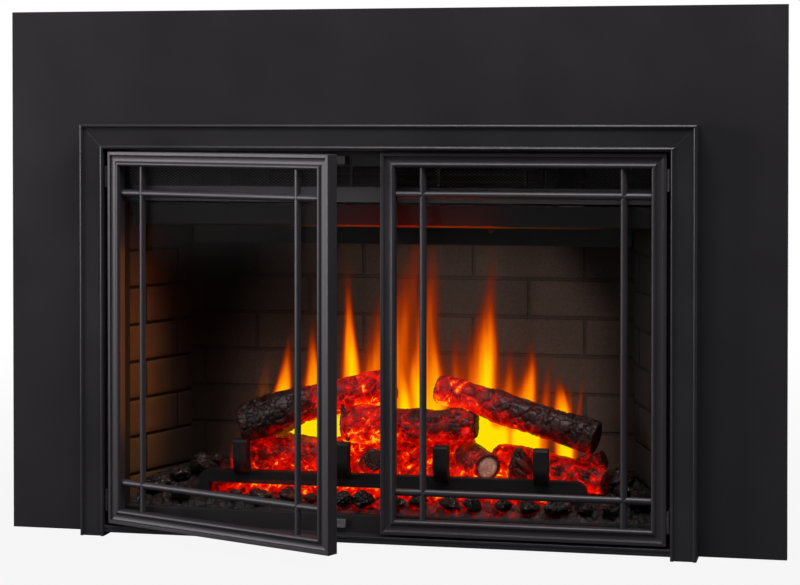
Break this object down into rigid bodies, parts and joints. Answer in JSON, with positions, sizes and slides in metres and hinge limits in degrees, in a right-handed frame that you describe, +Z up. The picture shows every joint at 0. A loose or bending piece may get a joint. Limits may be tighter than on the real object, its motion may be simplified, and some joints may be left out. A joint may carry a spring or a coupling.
{
  "type": "electric fireplace insert",
  "caption": "Electric fireplace insert: flat black surround, mitred trim, two hinged glazed doors with bar grids, brick liners, glowing log set on a grate, flame rotor and fan heater.",
  "frame": {"origin": "underside of the casing, in the middle of the width, in the plane of the surround's front face", "axes": "+X to the right as seen from the room, -Y out into the room, +Z up"},
  "size_m": [1.219, 0.4717, 0.822],
  "materials": {
    "satin_black_steel": "satin",
    "baffle_steel": "matte",
    "zinc_coated_steel": "matte",
    "element_frame": "matte",
    "blower_aluminium": "satin",
    "motor_housing": "matte",
    "rotor_foil": "polished",
    "bearing_nylon": "matte",
    "led_board": "matte",
    "terminal_housing": "matte",
    "brick_liner": "matte",
    "brick_screen": "matte",
    "ember_resin": "matte",
    "log_bark": "matte",
    "log_ember": "matte",
    "coal_resin": "matte",
    "grate_iron": "matte",
    "catch_plastic": "matte",
    "hinge_steel": "satin",
    "door_frame": "satin",
    "door_grid": "satin",
    "door_glass": "polished"
  },
  "bodies": {
    "insert": {"blower_motor": "motor_housing", "casing_back": "zinc_coated_steel", "casing_base": "zinc_coated_steel", "casing_left_wall": "zinc_coated_steel", "casing_right_wall": "zinc_coated_steel", "casing_top": "zinc_coated_steel", "ember_bed": "ember_resin", "ember_led_strip": "led_board", "face_apron": "satin_black_steel", "face_header": "satin_black_steel", "face_left_jamb": "satin_black_steel", "face_right_jamb": "satin_black_steel", "flame_led_strip": "led_board", "flame_screen": "brick_screen", "grate_bar": "grate_iron", "grate_uprights": "grate_iron", "heat_baffle": "baffle_steel", "heater_duct": "zinc_coated_steel", "heater_element": "element_frame", "hinge_brackets": "hinge_steel", "left_liner": "brick_liner", "log_centre": "log_bark", "log_lower_left": "log_ember", "log_lower_right": "log_ember", "log_sawn_ends": "log_ember", "log_upper_left": "log_bark", "log_upper_right": "log_bark", "loose_coals": "coal_resin", "magnetic_catches": "catch_plastic", "outlet_mesh": "satin_black_steel", "outlet_rail": "satin_black_steel", "right_liner": "brick_liner", "rotor_bearing": "bearing_nylon", "rotor_motor": "motor_housing", "screen_header_plate": "baffle_steel", "surround_panel": "satin_black_steel", "terminal_box": "terminal_housing", "trim_bottom_bar": "satin_black_steel", "trim_left": "satin_black_steel", "trim_right": "satin_black_steel", "trim_top": "satin_black_steel"},
    "left_door": {"left_door_bottom_rail": "door_frame", "left_door_free_stile": "door_frame", "left_door_glass": "door_glass", "left_door_grid_crossbars": "door_grid", "left_door_grid_uprights": "door_grid", "left_door_hinge_leaves": "hinge_steel", "left_door_hinge_stile": "door_frame", "left_door_top_rail": "door_frame"},
    "right_door": {"right_door_bottom_rail": "door_frame", "right_door_free_stile": "door_frame", "right_door_glass": "door_glass", "right_door_grid_crossbars": "door_grid", "right_door_grid_uprights": "door_grid", "right_door_hinge_leaves": "hinge_steel", "right_door_hinge_stile": "door_frame", "right_door_top_rail": "door_frame"},
    "blower": {"blower_wheel": "blower_aluminium"},
    "rotor": {"flame_rotor": "rotor_foil"}
  },
  "joints": [
    {"name": "left_door_hinge", "type": "hinge", "parent": "insert", "child": "left_door", "pos_m": [-0.4381, -0.0385, 0.309], "axis": [0, 0, -1], "range_deg": [-23, 72]},
    {"name": "right_door_hinge", "type": "hinge", "parent": "insert", "child": "right_door", "pos_m": [0.4381, -0.0385, 0.309], "axis": [0, 0, 1], "range_deg": [0, 95]},
    {"name": "blower_spin", "type": "hinge", "parent": "insert", "child": "blower", "pos_m": [0, 0.118, 0.5645], "axis": [1, 0, 0], "continuous": true},
    {"name": "flame_rotor_spin", "type": "hinge", "parent": "insert", "child": "rotor", "pos_m": [0, 0.214, 0.096], "axis": [1, 0, 0], "continuous": true}
  ]
}
